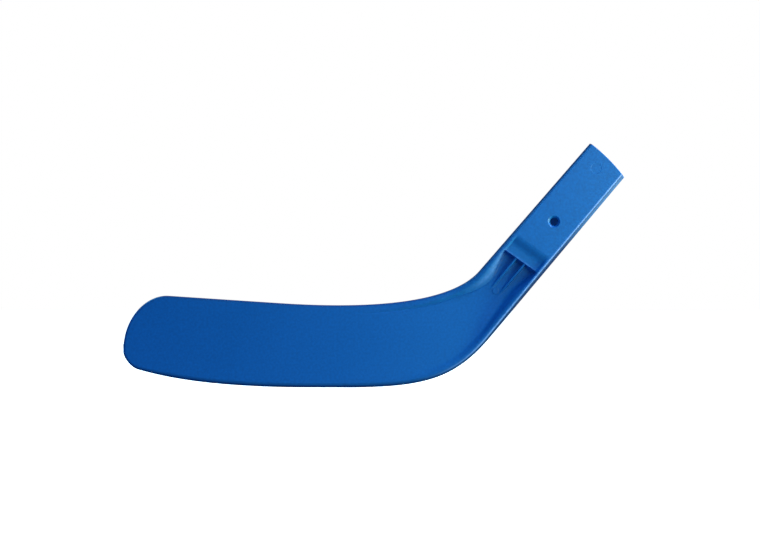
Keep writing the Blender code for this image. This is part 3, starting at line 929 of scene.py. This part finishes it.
def moulding_mesh(form):
    """The closed moulding, with the screw hole and the ejector marks in its front face."""
    rings, outer = form.rings()
    left = CORNER_STEPS + WALL_STEPS + FOOT_STEPS + 1
    right = len(rings[0]) // 2 - SIDE_WALL_POINTS - 1 - left
    face_gap = (outer + 2, outer + SLEEVE_STEPS - 1, left, right)
    wall_gap = (1, 2, left, right)
    work = bmesh.new()
    rows = skin(work, rings, (face_gap, wall_gap))
    hole_start, hole_end = screw_hole(work, form)
    mark = pin_mark(work, form)
    fill(work, gap_border(work, rows, face_gap) + ring_edges(work, hole_start) + ring_edges(work, mark[0]))
    fill(work, gap_border(work, rows, wall_gap) + ring_edges(work, hole_end))
    pin_pad(work, form)
    bmesh.ops.remove_doubles(work, verts=work.verts, dist=MERGE_DISTANCE)
    bmesh.ops.recalc_face_normals(work, faces=work.faces)
    open_edges = sum(not edge.is_manifold for edge in work.edges)
    for edge in work.edges:
        edge.smooth = edge.calc_face_angle(0.0) < SHARP_ANGLE
    for ring in mark:
        for edge in ring_edges(work, ring):
            edge.smooth = False
    mesh = bpy.data.meshes.new("blade_moulding")
    work.to_mesh(mesh)
    work.free()
    if open_edges:
        raise RuntimeError(f"The moulding's skin has {open_edges} open edges")
    return mesh


class Wiring:
    """Adds nodes to one node tree and wires them up."""

    def __init__(self, tree):
        self.nodes = tree.nodes
        self.links = tree.links

    def feed(self, slot, value):
        """Link another node's output to an input, or set a plain value on it."""
        if isinstance(value, bpy.types.NodeSocket):
            self.links.new(value, slot)
        else:
            slot.default_value = value

    def add(self, kind, inputs=(), **settings):
        """A new node with these settings and inputs."""
        node = self.nodes.new("ShaderNode" + kind)
        for name, value in settings.items():
            setattr(node, name, value)
        for slot, value in dict(inputs).items():
            self.feed(node.inputs[slot], value)
        return node

    def place(self, kind):
        """Coordinates of one kind."""
        return self.add("TexCoord").outputs[kind]

    def mark(self, name):
        """A mark that the mesh's points carry."""
        return self.add("Attribute", attribute_name=name).outputs["Fac"]

    def reckon(self, operation, *values):
        """A sum or a product."""
        return self.add("Math", enumerate(values), operation=operation).outputs["Value"]

    def spread(self, value, low, high):
        """A 0 to 1 value, spread between two numbers."""
        return self.add("MapRange", {"Value": value, "To Min": low, "To Max": high}).outputs["Result"]

    def noise(self, place, grain, detail, roughness):
        """Noise whose features are about this many metres across."""
        inputs = {"Vector": place, "Scale": 1.0 / grain, "Detail": detail, "Roughness": roughness}
        return self.add("TexNoise", inputs).outputs["Fac"]

    def blend(self, part, first, second, kind="MIX"):
        """The second colour mixed into the first, or multiplied or added to it."""
        inputs = {"Factor": part, "A": first, "B": second}
        return self.add("Mix", inputs, data_type="RGBA", blend_type=kind).outputs["Result"]

    def bump(self, height, strength, reach, **below):
        """A surface direction bent by a height, over another one if there is one."""
        inputs = {"Height": height, "Strength": strength, "Distance": reach, **below}
        return self.add("Bump", inputs).outputs["Normal"]

    def finish(self, looks):
        """Feed the shader of the material."""
        shader = self.nodes["Principled BSDF"]
        for slot, value in looks.items():
            self.feed(shader.inputs[slot], value)


def plastic_colour(wiring, look, place, cloud):
    """Mottled blue, with painted shade on the side walls and in the pockets, and painted highlights on edges
    and walls.
    """
    mottle = wiring.spread(wiring.noise(place, *MOTTLE), 1.0 - look.mottle, 1.0 + look.mottle)
    tone = wiring.reckon("ADD", mottle, wiring.spread(cloud, -CLOUD_TONE, CLOUD_TONE))
    toned = wiring.add("VectorMath", {"Vector": look.base, "Scale": tone}, operation="SCALE")
    # Painted shade: the wall colour mixed in where the mesh marks side walls
    shade_painted = wiring.blend(wiring.mark("wall"), toned.outputs["Vector"], (*look.wall, 1.0))
    # Painted highlight: the highlight colour mixed in where the mesh marks it, broken into streaks
    streak_noise = wiring.noise(place, *HIGHLIGHT_STREAKS)
    low, high = STREAK_RANGE
    inputs = {"Value": streak_noise, "From Min": low, "From Max": high, "To Min": STREAK_LEAST}
    streaks = wiring.add("MapRange", inputs).outputs["Result"]
    highlight_share = wiring.reckon("MULTIPLY", wiring.mark("rub"), streaks)
    highlighted = wiring.blend(highlight_share, shade_painted, (*look.pale, 1.0))
    # Painted shade in pockets and hollows: the deep colour mixed in by ambient occlusion
    hollow = wiring.add(
        "AmbientOcclusion", {"Distance": POCKET_SHADE_REACH}, samples=POCKET_SHADE_SAMPLES, only_local=True
    )
    unshaded = wiring.spread(hollow.outputs["AO"], 0.0, POCKET_SHADE_GAIN)
    return wiring.blend(unshaded, (*look.deep, 1.0), highlighted)


def plastic_roughness(wiring, look, coarse, cloud):
    """Matte, and slightly uneven."""
    grain = wiring.spread(coarse, look.roughness - GRAIN_ROUGHNESS, look.roughness + GRAIN_ROUGHNESS)
    return wiring.reckon("ADD", grain, wiring.spread(cloud, -CLOUD_ROUGHNESS, CLOUD_ROUGHNESS))


def plastic_relief(wiring, look, place, coarse):
    """Spark-eroded grain and the faint ripple of the cooled face."""
    fine = wiring.noise(place, look.grain, *FINE_GRAIN)
    ripple = wiring.noise(place, look.ripple, *RIPPLE)
    grain = wiring.bump(wiring.reckon("MULTIPLY_ADD", coarse, COARSE_HEIGHT, fine), *GRAIN_BUMP)
    return wiring.bump(ripple, *RIPPLE_BUMP, Normal=grain)


def blue_plastic(look):
    """Self-coloured blue plastic with a fine matte mould grain and faint clouding, painted highlights on
    edges, and painted shade on side walls and in pockets.
    """
    material = bpy.data.materials.new("blue_plastic")
    material.use_nodes = True
    material.diffuse_color = (*look.base, 1.0)
    wiring = Wiring(material.node_tree)
    place = wiring.place("Object")
    cloud = wiring.noise(place, *CLOUD)
    coarse = wiring.noise(place, look.grain * COARSE_SCALE, *COARSE_GRAIN)
    looks = {
        "Metallic": 0.0,
        "IOR": PLASTIC_IOR,
        "Specular IOR Level": look.specular,
        "Base Color": plastic_colour(wiring, look, place, cloud),
        "Roughness": plastic_roughness(wiring, look, coarse, cloud),
        "Normal": plastic_relief(wiring, look, place, coarse),
    }
    wiring.finish(looks)
    return material


class BLADE_OT_moulding(bpy.types.Operator):
    """Build the one-piece moulding: hollow shank, ribbed neck and blade"""

    bl_idname = "blade.moulding"
    bl_label = "Build moulding"

    def execute(self, context):
        moulding = bpy.data.objects.new("blade_moulding", moulding_mesh(Form(context.scene)))
        context.scene.collection.objects.link(moulding)
        moulding.data.materials.append(blue_plastic(context.scene.blade_plastic))
        moulding.data.polygons.foreach_set("use_smooth", [True] * len(moulding.data.polygons))
        even = moulding.modifiers.new("even_faces", "WEIGHTED_NORMAL")
        even.keep_sharp = True
        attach(moulding, "root")
        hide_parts("stick_blade")
        return {"FINISHED"}


def aimed(name, data, place, target):
    """An object at a place, with its -Z pointed at a target."""
    made = bpy.data.objects.new(name, data)
    made.location = place
    made.rotation_euler = (Vector(target) - Vector(place)).to_track_quat("-Z", "Y").to_euler()
    bpy.context.scene.collection.objects.link(made)
    return made


def softbox(name, place, target, across, power, tint):
    """A round soft lamp that the camera doesn't see."""
    lamp = bpy.data.lights.new(name, "AREA")
    lamp.shape = "DISK"
    lamp.size = across
    lamp.energy = power
    lamp.color = tint
    aimed(name, lamp, place, target).visible_camera = False


def tip_light(look):
    """A narrow spot lamp that looks into the shank's mouth."""
    lamp = bpy.data.lights.new("tip_light", "SPOT")
    lamp.energy = look.tip
    lamp.color = look.cool
    lamp.spot_size = TIP_CONE
    lamp.spot_blend = 1.0
    lamp.shadow_soft_size = TIP_SOFTNESS
    aimed("tip_light", lamp, TIP_PLACE, MOUTH)


def photo_camera(look):
    """The camera, turned to the photograph's viewing angle."""
    lens = bpy.data.cameras.new("photo_camera")
    lens.sensor_width = SENSOR_WIDTH
    lens.lens = SENSOR_WIDTH * look.distance / look.frame_width
    level = math.cos(look.elevation)
    turn = (math.sin(look.azimuth) * level, -math.cos(look.azimuth) * level, math.sin(look.elevation))
    place = Vector(MIDDLE) + Vector(turn) * look.distance
    return aimed("photo_camera", lens, place, MIDDLE)


def pale_floor(look):
    """Pale, faintly lit floor with a slightly uneven tone."""
    material = bpy.data.materials.new("pale_floor")
    material.use_nodes = True
    wiring = Wiring(material.node_tree)
    uneven = wiring.noise(wiring.place("Object"), *FLOOR_NOISE)
    dull = [value * FLOOR_DULLING for value in look.floor]
    looks = {
        "Specular IOR Level": 0.0,
        "Roughness": FLOOR_ROUGHNESS,
        "Emission Color": WHITE,
        "Emission Strength": look.floor_glow,
        "Base Color": wiring.blend(uneven, (*look.floor, 1.0), (*dull, 1.0)),
    }
    wiring.finish(looks)
    return material


def studio_floor(look):
    """A wide floor under the blade that neither lights the blade nor shades it."""
    ground = cad_box[0][2]
    corners = [(x * FLOOR_REACH, y * FLOOR_REACH, ground) for x, y in ((-1, -1), (1, -1), (1, 1), (-1, 1))]
    mesh = bpy.data.meshes.new("studio_floor")
    mesh.from_pydata(corners, [], [(0, 1, 2, 3)])
    mesh.materials.append(pale_floor(look))
    floor = bpy.data.objects.new("studio_floor", mesh)
    floor.visible_diffuse = False
    floor.visible_glossy = False
    floor.visible_shadow = False
    return floor


def band(wiring, place, axis, stops):
    """Grey value by a direction's share of one axis, from (share, value) stops."""
    split = wiring.add("SeparateXYZ", {"Vector": place}).outputs[axis]
    spread = wiring.add("MapRange", {"Value": split, "From Min": -1.0}).outputs["Result"]
    shade = wiring.add("ValToRGB", {"Fac": spread})
    marks = shade.color_ramp.elements
    while len(marks) < len(stops):
        marks.new(0.5)
    for mark, (at, value) in zip(marks, stops):
        mark.position = (at + 1.0) / 2.0
        mark.color = (value, value, value, 1.0)
    return shade.outputs["Color"]


def studio_world(look):
    """White behind the blade, with soft light from a ring round the front and from above."""
    world = bpy.data.worlds.new("studio_world")
    world.use_nodes = True
    wiring = Wiring(world.node_tree)
    wiring.nodes.clear()
    place = wiring.place("Generated")
    ring = wiring.blend(1.0, band(wiring, place, "Y", RING_BAND), (*look.surround, 1.0), "MULTIPLY")
    above = wiring.blend(1.0, band(wiring, place, "Z", OVERHEAD_BAND), (*look.overhead, 1.0), "MULTIPLY")
    light = wiring.blend(1.0, ring, above, "ADD")
    lit = wiring.add("Background", {"Color": light}).outputs["Background"]
    seen = wiring.add("Background", {"Color": WHITE}).outputs["Background"]
    path = wiring.add("LightPath").outputs["Is Camera Ray"]
    both = wiring.add("MixShader", {"Fac": path, 1: lit, 2: seen}).outputs["Shader"]
    wiring.add("OutputWorld", {"Surface": both})
    return world


class BLADE_OT_studio(bpy.types.Operator):
    """Set up the floor, the soft lights and the camera"""

    bl_idname = "blade.studio"
    bl_label = "Set up studio"

    def execute(self, context):
        scene = context.scene
        look = scene.blade_studio
        scene.view_settings.view_transform = "Standard"
        scene.view_settings.look = "None"
        floor = studio_floor(look)
        scene.collection.objects.link(floor)
        scene.world = studio_world(look)
        for name, place, aim, across, power, tint in SOFTBOXES:
            softbox(name, place, aim, across, getattr(look, power), getattr(look, tint))
        tip_light(look)
        scene.camera = photo_camera(look)
        return {"FINISHED"}


class BLADE_PT_panel(bpy.types.Panel):
    """The blade's build steps and sizes"""

    bl_idname = "BLADE_PT_panel"
    bl_label = "Street hockey blade"
    bl_space_type = "VIEW_3D"
    bl_region_type = "UI"
    bl_category = "Blade"

    def draw(self, context):
        layout = self.layout
        for step in (BLADE_OT_moulding, BLADE_OT_studio):
            layout.operator(step.bl_idname)
        for place, group in GROUPS.items():
            box = layout.box()
            box.label(text=group.__doc__)
            settings = getattr(context.scene, place)
            for name in group.__annotations__:
                box.prop(settings, name)


GROUPS = {
    "blade_shank": ShankSizes,
    "blade_neck": NeckSizes,
    "blade_plate": BladeSizes,
    "blade_plastic": PlasticLook,
    "blade_studio": StudioLook,
}
STEPS = (BLADE_OT_moulding, BLADE_OT_studio, BLADE_PT_panel)


def register():
    for name, group in GROUPS.items():
        bpy.utils.register_class(group)
        setattr(bpy.types.Scene, name, PointerProperty(type=group))
    for step in STEPS:
        bpy.utils.register_class(step)


def unregister():
    for step in reversed(STEPS):
        bpy.utils.unregister_class(step)
    for name, group in reversed(GROUPS.items()):
        delattr(bpy.types.Scene, name)
        bpy.utils.unregister_class(group)


def main():
    register()
    bpy.ops.blade.moulding()
    bpy.ops.blade.studio()


if __name__ == "__main__":
    main()
